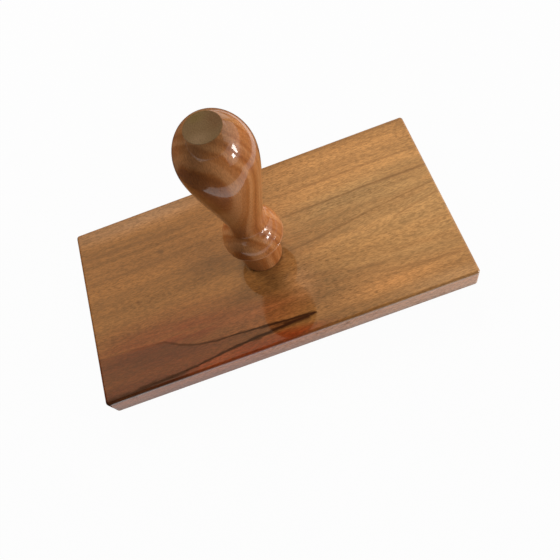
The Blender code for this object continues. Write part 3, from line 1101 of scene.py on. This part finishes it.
def applied(obj: bpy.types.Object) -> None:
    """Gives an object the mesh that its modifiers make of it, and removes them."""
    graph = bpy.context.evaluated_depsgraph_get()
    graph.update()
    mesh = bpy.data.meshes.new_from_object(obj.evaluated_get(graph))
    obj.modifiers.clear()
    obj.data = mesh


def turned(name: str, profile: Profile, steps: int) -> bpy.types.Object:
    """A turned solid.

    Args:
        name: The object's name.
        profile: Its half section, down the outside from the top.
        steps: How many facets go round.

    Returns:
        The object, with a closed mesh.
    """
    bm = bmesh.new()
    points = [bm.verts.new((radius, 0.0, height)) for radius, height in profile]
    for start, end in zip(points, points[1:]):
        bm.edges.new((start, end))
    made = object_of(name, bm)
    screw = made.modifiers.new("turned", "SCREW")
    screw.steps = steps
    screw.render_steps = steps
    screw.use_merge_vertices = True
    screw.merge_threshold = MERGE_DISTANCE
    applied(made)
    return made


def rod(name: str, radius: float, low: float, high: float, steps: int) -> bpy.types.Object:
    """A plain round cutter on Z.

    Args:
        name: The cutter's name.
        radius: Its radius.
        low: Where it begins.
        high: Where it ends.
        steps: How many facets go round.

    Returns:
        The cutter.
    """
    return turned(name, [(0.0, high), (radius, high), (radius, low), (0.0, low)], steps)


def cut_away(obj: bpy.types.Object, cutters: list[bpy.types.Object]) -> None:
    """Cuts shapes out of a piece.

    Args:
        obj: The piece.
        cutters: The shapes, which are removed afterwards.
    """
    bpy.context.view_layer.update()
    for cutter in cutters:
        boolean = obj.modifiers.new("cut_" + cutter.name, "BOOLEAN")
        boolean.operation = "DIFFERENCE"
        boolean.solver = "EXACT"
        boolean.object = cutter
    applied(obj)
    for cutter in cutters:
        bpy.data.objects.remove(cutter)


def shade(obj: bpy.types.Object, sharp_degrees: float) -> None:
    """Shades a piece smooth, with crisp edges where its faces meet steeply.

    Args:
        obj: The piece.
        sharp_degrees: The least angle of a crisp edge.
    """
    obj.data.shade_smooth()
    obj.data.set_sharp_from_angle(angle=math.radians(sharp_degrees))
    weighted = obj.modifiers.new("flat_faces_stay_flat", "WEIGHTED_NORMAL")
    weighted.keep_sharp = True
    applied(obj)


def dress(piece: bpy.types.Object, finish: Finish, node: str) -> bpy.types.Object:
    """Gives a piece its finish and puts it in the place of a node of the frame.

    Args:
        piece: The piece.
        finish: Its finish.
        node: The node that it stands for.

    Returns:
        The piece.
    """
    piece.data.materials.clear()
    piece.data.materials.append(finish.material())
    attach(piece, BODY)
    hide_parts(node)
    log.info("%s: %d faces, %s", piece.name, len(piece.data.polygons), finish.slot.value)
    return piece


@dataclass
class Seat:
    """The joinery between the board, the handle and the screw, shared by the pieces that meet there."""

    spigot_radius: float = 0.0050
    spigot_length: float = 0.0050
    foot_radius: float = 0.0112
    screw_radius: float = 0.0025
    head_radius: float = 0.0046
    pin_radius: float = 0.00125
    steps: int = 64

    def __post_init__(self) -> None:
        """Reads the heights of the joinery from the frame."""
        self.handle_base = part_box("turned_handle")[0].z + self.spigot_length
        self.head_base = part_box("handle_screw")[0].z
        self.screw_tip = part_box("handle_screw")[1].z
        self.plug_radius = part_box("screw_plug")[1].x
        self.hub_radius = self.plug_radius + CLEARANCE

    def pin_cutters(self) -> list[bpy.types.Object]:
        """The cutters that drill the board and the foot for the pins.

        Returns:
            One cutter for each pin.
        """
        cutters = []
        for name in (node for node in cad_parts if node.startswith("anti_turn_pin")):
            low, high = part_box(name)
            radius = self.pin_radius + CLEARANCE
            cutter = rod("hole_" + name, radius, low.z - CLEARANCE, high.z + CLEARANCE, self.steps)
            cutter.location = ((low.x + high.x) / 2, (low.y + high.y) / 2, 0.0)
            cutters.append(cutter)
        return cutters


@dataclass
class PrintBoard:
    """The board, carved on its underside, with the seat of the handle in its middle."""

    seat: Seat
    corner_radius: float = 0.0018
    arris_radius: float = 0.0014
    corner_segments: int = 6
    arris_segments: int = 5
    rim_degrees: float = 60.0
    head_height: float = 0.0028
    border_inset: float = 0.0070
    groove_width: float = 0.0024
    groove_depth: float = 0.0012
    petal_count: int = 8
    petal_size: tuple[float, ...] = (0.0240, 0.0105, 0.0022)
    petal_gap: float = 0.0020
    stem_width: float = 0.0026
    stem_depth: float = 0.0014
    stem_gap: float = 0.0030
    stem_end_margin: float = 0.0050
    leaf_size: tuple[float, ...] = (0.0240, 0.0090, 0.0020)
    leaf_pitch: float = 0.0125
    leaf_lean: float = 42.0
    stroke_sink: float = 0.00025
    dish_segments: int = 40
    dish_rings: int = 20
    gloss: float = 0.04
    grain_relief: float = 0.00003
    sharp_degrees: float = 34.0

    def build(self) -> bpy.types.Object:
        """Builds and dresses the board.

        Returns:
            The board.
        """
        low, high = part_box("print_board")
        self.size = high - low
        board = self.blank()
        cut_away(board, [self.seat_cutter(), *self.seat.pin_cutters()])
        cut_away(board, [self.groove_cutter(), *self.carving_cutters()])
        shade(board, self.sharp_degrees)
        finish = BoardWood(
            Slot.BOARD,
            coat_roughness=self.gloss,
            relief_depth=self.grain_relief,
            half_size=tuple(self.size / 2),
        )
        return dress(board, finish, "print_board")

    def blank(self) -> bpy.types.Object:
        """The planed board before any cut, with its corners rounded and its arrises eased.

        Returns:
            The blank.
        """
        bm = bmesh.new()
        bmesh.ops.create_cube(bm, size=1.0)
        bmesh.ops.scale(bm, vec=self.size, verts=bm.verts)
        bmesh.ops.translate(bm, vec=(0.0, 0.0, self.size.z / 2), verts=bm.verts)
        upright = [edge for edge in bm.edges if edge.verts[0].co.xy == edge.verts[1].co.xy]
        self.round_over(bm, upright, self.corner_radius, self.corner_segments)
        rim = [edge for edge in bm.edges if edge.calc_face_angle() > math.radians(self.rim_degrees)]
        self.round_over(bm, rim, self.arris_radius, self.arris_segments)
        return object_of("board", bm)

    def round_over(self, bm: bmesh.types.BMesh, edges: list, radius: float, segments: int) -> None:
        """Rounds edges of the blank."""
        bmesh.ops.bevel(bm, geom=edges, offset=radius, segments=segments, profile=ROUND_PROFILE, affect="EDGES")

    def seat_cutter(self) -> bpy.types.Object:
        """The stepped hole for the spigot, the screw, its head and the plug.

        Returns:
            The cutter.
        """
        seat = self.seat
        socket = seat.spigot_radius + CLEARANCE
        hole = seat.screw_radius + CLEARANCE
        countersink = seat.head_radius + CLEARANCE
        floor = seat.handle_base - seat.spigot_length - CLEARANCE
        top = self.size.z + CUTTER_MARGIN
        profile = [
            (0.0, top),
            (socket, top),
            (socket, floor),
            (hole, floor),
            (hole, seat.head_base + self.head_height),
            (countersink, seat.head_base),
            (seat.hub_radius, seat.head_base),
            (seat.hub_radius, -CUTTER_MARGIN),
            (0.0, -CUTTER_MARGIN),
        ]
        return turned("seat_cutter", profile, seat.steps)

    def groove_cutter(self) -> bpy.types.Object:
        """The V-section frame that cuts the line round the carved field.

        Returns:
            The cutter.
        """
        bm = bmesh.new()
        half_length = self.size.x / 2 - self.border_inset
        half_width = self.size.y / 2 - self.border_inset
        corners = ((1, 1), (-1, 1), (-1, -1), (1, -1))
        half = self.groove_width / 2
        sink = -self.stroke_sink
        section = ((half, sink), (0.0, self.groove_depth), (-half, sink), (0.0, -self.groove_depth))
        rings = [
            [bm.verts.new((sx * (half_length + out), sy * (half_width + out), up)) for sx, sy in corners]
            for out, up in section
        ]
        for ring, following in zip(rings, rings[1:] + rings[:1]):
            for corner in range(len(corners)):
                after = (corner + 1) % len(corners)
                bm.faces.new((ring[corner], ring[after], following[after], following[corner]))
        bmesh.ops.recalc_face_normals(bm, faces=bm.faces)
        return object_of("border_groove", bm)

    def carving_cutters(self) -> list[bpy.types.Object]:
        """The gouge strokes of the rosette and of the two leaf sprays.

        Returns:
            One cutter for each stroke.
        """
        start = self.seat.hub_radius + self.petal_gap
        petal_middle = start + self.petal_size[0] / 2
        strokes = []
        for index in range(self.petal_count):
            turn = math.tau * (index + HALF_STEP) / self.petal_count
            place = (petal_middle * math.cos(turn), petal_middle * math.sin(turn))
            strokes.append(self.stroke(f"petal_{index + 1}", self.petal_size, place, turn))
        stem_start = start + self.petal_size[0] + self.stem_gap
        room = self.size.x / 2 - self.border_inset - self.stem_end_margin - stem_start
        pairs = max(1, int(room / self.leaf_pitch) - 1)
        for towards in (1, -1):
            strokes += self.spray(towards, stem_start, pairs)
        return strokes

    def spray(self, towards: int, stem_start: float, pairs: int) -> list[bpy.types.Object]:
        """One stem with its pairs of leaves.

        Args:
            towards: 1 for the spray at the right end, -1 for the left.
            stem_start: How far from the centre the stem begins.
            pairs: How many pairs of leaves it has.

        Returns:
            The cutters.
        """
        stem_length = self.leaf_pitch * (pairs + 1)
        stem_size = (stem_length, self.stem_width, self.stem_depth)
        stem_place = (towards * (stem_start + stem_length / 2), 0.0)
        strokes = [self.stroke(f"stem_{towards}", stem_size, stem_place, 0.0)]
        half_leaf = self.leaf_size[0] / 2
        lean = math.radians(self.leaf_lean)
        for pair in range(pairs):
            root = stem_start + self.leaf_pitch * (pair + HALF_STEP)
            for side in (1, -1):
                out = half_leaf * math.sin(lean) + self.stem_width
                place = (towards * (root + half_leaf * math.cos(lean)), side * out)
                name = f"leaf_{towards}_{side}_{pair}"
                strokes.append(self.stroke(name, self.leaf_size, place, towards * side * lean))
        return strokes

    def stroke(self, name: str, size: tuple[float, ...], place: Spot, turn: float) -> bpy.types.Object:
        """A flat ellipsoid that scoops one almond-shaped hollow.

        Args:
            name: The cutter's name.
            size: Its length, width and depth.
            place: Where it cuts.
            turn: Its heading, in radians.

        Returns:
            The cutter.
        """
        bm = bmesh.new()
        bmesh.ops.create_uvsphere(bm, u_segments=self.dish_segments, v_segments=self.dish_rings, radius=1.0)
        bmesh.ops.rotate(bm, matrix=Matrix.Rotation(math.pi / 2, 3, "Y"), verts=bm.verts)
        bmesh.ops.scale(bm, vec=(size[0] / 2, size[1] / 2, size[2] + self.stroke_sink), verts=bm.verts)
        made = object_of(name, bm)
        made.location = (*place, -self.stroke_sink)
        made.rotation_euler = (0.0, 0.0, turn)
        return made


@dataclass
class TurnedHandle:
    """The turned handle: collar foot, domed bead with a crisp arris, neck, pear-shaped grip and crown."""

    seat: Seat
    foot_rise: float = 0.0145
    foot_chamfer: float = 0.0004
    arris_rise: float = 0.0224
    bead_overhang: float = 0.0042
    bead_half_height: float = 0.0150
    lip_reach: float = 0.00025
    lip_height: float = 0.0008
    neck_radius: float = 0.0094
    neck_ease: float = 0.0030
    neck_turn: float = 0.24
    pear_rise: float = 0.0540
    pear_reach: float = 0.0125
    crown_flat_radius: float = 0.0079
    flat_ease: float = 0.0005
    spigot_chamfer: float = 0.0006
    sink: float = 0.00005
    gloss: float = 0.05
    turning_marks: tuple[float, ...] = (45.0, 45.0, 620.0)
    # How far the darker bands under the bead's lip and round the foot reach.
    cove_dark_reach: float = 0.0022
    base_dark_reach: float = 0.0012
    curve_points: int = 48
    ease_points: int = 12
    steps: int = 144
    sharp_degrees: float = 36.0

    def build(self) -> bpy.types.Object:
        """Builds and dresses the handle.

        Returns:
            The handle.
        """
        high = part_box("turned_handle")[1]
        self.knob_radius = high.x
        self.top = high.z
        base = self.seat.handle_base
        self.bead_radius = self.seat.foot_radius + self.bead_overhang
        self.neck_angle = math.acos(self.neck_radius / self.bead_radius)
        self.bead_height = base + self.arris_rise
        self.neck_height = self.bead_height + self.bead_half_height * math.sin(self.neck_angle)
        self.knob_height = self.neck_height + self.pear_rise
        handle = turned("handle", self.profile(), self.steps)
        cut_away(handle, self.seat.pin_cutters())
        shade(handle, self.sharp_degrees)
        cove = self.bead_height - self.lip_height - self.cove_dark_reach
        creases = ((cove, self.cove_dark_reach), (base, self.base_dark_reach))
        finish = HandleWood(
            Slot.HANDLE,
            coat_roughness=self.gloss,
            mark_pace=self.turning_marks,
            crown=self.top,
            creases=creases,
            lip=(self.bead_height - self.lip_height / 2, self.lip_height),
        )
        return dress(handle, finish, "turned_handle")

    def profile(self) -> Profile:
        """The handle's half section, down its outside and up inside its bore.

        Returns:
            The points, as radii and heights.
        """
        seat = self.seat
        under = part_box("print_board")[1].z - self.sink
        spigot_end = seat.handle_base - seat.spigot_length
        bore = seat.screw_radius + CLEARANCE
        joinery = [
            (seat.foot_radius, under + self.foot_chamfer),
            (seat.foot_radius - self.foot_chamfer, under),
            (seat.spigot_radius, under),
            (seat.spigot_radius, spigot_end + self.spigot_chamfer),
            (seat.spigot_radius - self.spigot_chamfer, spigot_end),
            (bore, spigot_end),
            (bore, seat.screw_tip + CLEARANCE),
            (0.0, seat.screw_tip + CLEARANCE),
        ]
        return self.crown() + self.grip()[1:] + self.bead() + joinery

    def crown(self) -> Profile:
        """The crown: its flat, the flat's eased edge and the dome down to the knob's widest place."""
        flat_angle = math.acos(self.crown_flat_radius / self.knob_radius)
        rise = (self.top - self.knob_height) / math.sin(flat_angle)
        dome = oval_arc((0.0, self.knob_height), self.knob_radius, rise, flat_angle, 0.0, self.curve_points)
        ease_start = (self.crown_flat_radius - self.flat_ease, self.top)
        ease = cubic((ease_start, dome[0], dome[0], dome[1]), self.ease_points)
        return [(0.0, self.top), *ease, *dome[2:]]

    def grip(self) -> Profile:
        """The pear-shaped grip, from the knob in to its neck."""
        corners = (
            (self.knob_radius, self.knob_height),
            (self.knob_radius, self.knob_height - self.pear_reach),
            (self.neck_radius, self.neck_height + self.pear_reach),
            (self.neck_radius, self.neck_height + self.neck_ease),
        )
        return cubic(corners, self.curve_points)

    def bead(self) -> Profile:
        """The hollow of the neck, the domed bead, its lip and the cove in to the foot's collar."""
        middle = (0.0, self.bead_height)
        start = self.neck_angle - self.neck_turn
        dome = oval_arc(middle, self.bead_radius, self.bead_half_height, start, 0.0, self.curve_points)
        half_lip = self.lip_height / 2
        lip_middle = (self.bead_radius, self.bead_height - half_lip)
        quarter = math.pi / 2
        lip = oval_arc(lip_middle, self.lip_reach, half_lip, quarter, -quarter, self.ease_points)
        foot = self.seat.foot_radius
        under = lip[-1][1]
        foot_top = self.seat.handle_base + self.foot_rise
        bend = (foot, (under + foot_top) / 2)
        cove = cubic((lip[-1], (foot, under), bend, (foot, foot_top)), self.ease_points)
        neck = (self.neck_radius, self.neck_height + self.neck_ease)
        corner = (self.neck_radius, self.neck_height)
        hollow = cubic((neck, corner, corner, dome[0]), self.ease_points)
        return [*hollow[1:], *dome[1:], *lip[1:], *cove[1:]]


@dataclass
class ScrewPlug:
    """The plug that closes the screw's hole in the underside."""

    chamfer: float = 0.0004
    steps: int = 96
    sharp_degrees: float = 34.0

    def build(self) -> bpy.types.Object:
        """Builds and dresses the plug.

        Returns:
            The plug.
        """
        low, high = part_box("screw_plug")
        radius = high.x
        profile = [
            (0.0, high.z),
            (radius - self.chamfer, high.z),
            (radius, high.z - self.chamfer),
            (radius, low.z + self.chamfer / 2),
            (radius - self.chamfer / 2, low.z),
            (0.0, low.z),
        ]
        plug = turned("plug", profile, self.steps)
        shade(plug, self.sharp_degrees)
        return dress(plug, PlugWood(Slot.PLUG), "screw_plug")


@dataclass
class Hardware:
    """The brass screw and pins, which keep the frame's own shapes."""

    names: tuple[str, ...] = ("handle_screw", "anti_turn_pin_1", "anti_turn_pin_2")

    def build(self) -> None:
        """Dresses the brass pieces."""
        brass = Brass(Slot.BRASS).material()
        for name in self.names:
            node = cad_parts[name]
            node.data.materials.clear()
            node.data.materials.append(brass)
            log.info("%s: the frame's own shape, brass", name)


@dataclass(frozen=True)
class Lamp:
    """One soft lamp that faces the object."""

    name: str
    azimuth: float
    elevation: float
    distance: float
    size: Spot
    level: float
    colour: Colour = WHITE
    mirrored: bool = True

    def build(self, target: Vector) -> None:
        """Hangs the lamp.

        Args:
            target: The point that it faces.
        """
        data = bpy.data.lights.new(self.name, "AREA")
        data.shape = "RECTANGLE"
        data.size, data.size_y = self.size
        data.color = self.colour
        data.energy = self.level * math.pi**2 * self.distance**2
        lamp = bpy.data.objects.new(self.name, data)
        back = heading(self.azimuth, self.elevation)
        lamp.location = target + back * self.distance
        lamp.rotation_euler = back.to_track_quat("Z", "Y").to_euler()
        lamp.visible_camera = False
        lamp.visible_glossy = self.mirrored
        bpy.context.scene.collection.objects.link(lamp)


def heading(azimuth: float, elevation: float) -> Vector:
    """The direction from the object towards a place round it.

    Args:
        azimuth: Degrees round from the front towards the right.
        elevation: Degrees above the horizon.

    Returns:
        The direction, one long.
    """
    bearing = math.radians(azimuth)
    up = math.radians(elevation)
    return Vector((math.sin(bearing) * math.cos(up), -math.cos(bearing) * math.cos(up), math.sin(up)))


@dataclass(frozen=True)
class DarkScreen:
    """A dark cloth beside the object that shows only in its gloss: it lies on the floor, then hangs."""

    name: str
    azimuth: float
    start: float
    across: Spot
    end: float = 0.90
    height: float = 0.55
    lift: float = 0.0005
    colour: Colour = (0.02, 0.02, 0.02)

    def build(self) -> None:
        """Hangs the cloth."""
        out = heading(self.azimuth, 0.0)
        aside = heading(self.azimuth + QUARTER_TURN, 0.0)
        up = Vector((0.0, 0.0, 1.0))
        bm = bmesh.new()
        rows = []
        for reach, rise in ((self.start, self.lift), (self.end, self.lift), (self.end, self.height)):
            middle = out * reach + up * rise
            rows.append([bm.verts.new(middle + aside * side) for side in self.across])
        for near, far in zip(rows, rows[1:]):
            bm.faces.new((*near, *reversed(far)))
        cloth = object_of(self.name, bm)
        cloth.visible_camera = False
        cloth.visible_diffuse = False
        cloth.visible_shadow = False
        made, tree = start_material(self.name)
        plain = tree.add("ShaderNodeBsdfDiffuse")
        tree.feed(plain.inputs["Color"], opaque(self.colour))
        leave = tree.add("ShaderNodeOutputMaterial")
        tree.feed(leave.inputs["Surface"], plain.outputs[0])
        cloth.data.materials.append(made)


@dataclass
class Studio:
    """White floor, soft light from the right and above, and the camera."""

    floor_radius: float = 3.0
    floor_drop: float = 0.0002
    cove_radius: float = 0.8
    wall_height: float = 2.0
    cove_points: int = 12
    round_steps: int = 96
    floor_colour: Colour = (0.35, 0.35, 0.35)
    floor_glow: float = 0.97
    ambient_colour: Colour = (1.0, 0.97, 0.94)
    ambient: float = 0.04
    camera_place: tuple[float, ...] = (0.017602, -0.160354, 0.303497)
    camera_azimuth: float = 5.334
    camera_elevation: float = 63.821
    camera_roll: float = -24.705
    camera_lens: float = 39.443
    lamp_target: tuple[float, ...] = (0.0, 0.0, 0.05)
    lamps: tuple[Lamp, ...] = (
        Lamp("window_wall", 100.0, 28.0, 0.62, (0.70, 0.50), 0.32, (1.0, 0.97, 0.93)),
        Lamp("back_window_left", 210.0, 30.0, 0.90, (0.40, 0.22), 0.56, WHITE, False),
        Lamp("back_window_right", 158.0, 30.0, 0.90, (0.40, 0.22), 0.66, WHITE, False),
        Lamp("overhead", 180.0, 59.0, 1.10, (1.20, 0.55), 0.21, (1.0, 0.78, 0.50)),
        Lamp("left_fill", 285.0, 30.0, 0.90, (0.90, 0.60), 0.17, WHITE, False),
        Lamp("window_pane_near", 47.5, 7.8, 1.00, (0.14, 0.14), 0.17),
        Lamp("window_pane_far", 66.5, 12.0, 1.00, (0.28, 0.28), 0.61, (1.0, 0.97, 0.93)),
    )
    screens: tuple[DarkScreen, ...] = (
        DarkScreen("front_screen", 0.0, 0.135, (-1.20, 0.45)),
        DarkScreen("left_screen", 270.0, 0.103, (-1.00, 1.00)),
        DarkScreen("right_screen", 90.0, 0.180, (-0.45, 1.00)),
        DarkScreen("back_screen", 180.0, 0.055, (-0.10, 1.20)),
    )

    def build(self) -> None:
        """Sets up the floor, the light and the camera."""
        self.set_floor()
        self.set_world()
        for lamp in self.lamps:
            lamp.build(Vector(self.lamp_target))
        for screen in self.screens:
            screen.build()
        self.set_camera()
        bpy.context.scene.view_settings.view_transform = "Standard"

    def seen(self, tree: Tree) -> Socket:
        """1 for rays that show the background: straight, mirrored or through glass."""
        path = tree.add("ShaderNodeLightPath").outputs
        mirrored = tree.math("MAXIMUM", path["Is Glossy Ray"], path["Is Transmission Ray"])
        return tree.math("MAXIMUM", path["Is Camera Ray"], mirrored)

    def set_floor(self) -> None:
        """Lays the white floor, which keeps a soft shadow and curves up into a wall all round."""
        bend = (self.floor_radius, self.cove_radius)
        cove = oval_arc(bend, self.cove_radius, self.cove_radius, -math.pi / 2, 0.0, self.cove_points)
        wall_top = (self.floor_radius + self.cove_radius, self.wall_height)
        floor = turned("floor", [(0.0, 0.0), *cove, wall_top], self.round_steps)
        floor.data.shade_smooth()
        floor.location.z = -self.floor_drop
        floor.visible_shadow = False
        made, tree = start_material("floor_white")
        plain = tree.add("ShaderNodeBsdfDiffuse")
        tree.feed(plain.inputs["Color"], opaque(self.floor_colour))
        glow = tree.add("ShaderNodeEmission")
        both = tree.add("ShaderNodeMixShader")
        tree.feed(both.inputs[0], tree.math("MULTIPLY", self.seen(tree), self.floor_glow))
        tree.feed(both.inputs[1], plain.outputs[0])
        tree.feed(both.inputs[2], glow.outputs[0])
        leave = tree.add("ShaderNodeOutputMaterial")
        tree.feed(leave.inputs["Surface"], both.outputs[0])
        floor.data.materials.append(made)

    def set_world(self) -> None:
        """Makes the dim room above the white wall."""
        world = bpy.data.worlds.new("studio")
        world.use_nodes = True
        tree = Tree(world.node_tree)
        light = tree.add("ShaderNodeBackground")
        tree.feed_all(light, {"Color": opaque(self.ambient_colour), "Strength": self.ambient})
        leave = tree.add("ShaderNodeOutputWorld")
        tree.feed(leave.inputs["Surface"], light.outputs[0])
        bpy.context.scene.world = world

    def set_camera(self) -> None:
        """Puts the camera where the object shows as it should, tilted as it was held."""
        data = bpy.data.cameras.new("camera")
        data.lens = self.camera_lens
        camera = bpy.data.objects.new("camera", data)
        back = heading(self.camera_azimuth, self.camera_elevation)
        level = back.to_track_quat("Z", "Y").to_matrix()
        turn = Matrix.Rotation(math.radians(self.camera_roll), 3, "Z")
        camera.matrix_world = Matrix.Translation(self.camera_place) @ (level @ turn).to_4x4()
        bpy.context.scene.collection.objects.link(camera)
        bpy.context.scene.camera = camera


def main() -> None:
    """Builds the object's pieces in order, then the studio round them."""
    logging.basicConfig(level=logging.INFO, format="%(name)s: %(message)s")
    build_groups()
    seat = Seat()
    PrintBoard(seat).build()
    TurnedHandle(seat).build()
    ScrewPlug().build()
    Hardware().build()
    Studio().build()


if __name__ == "__main__":
    main()
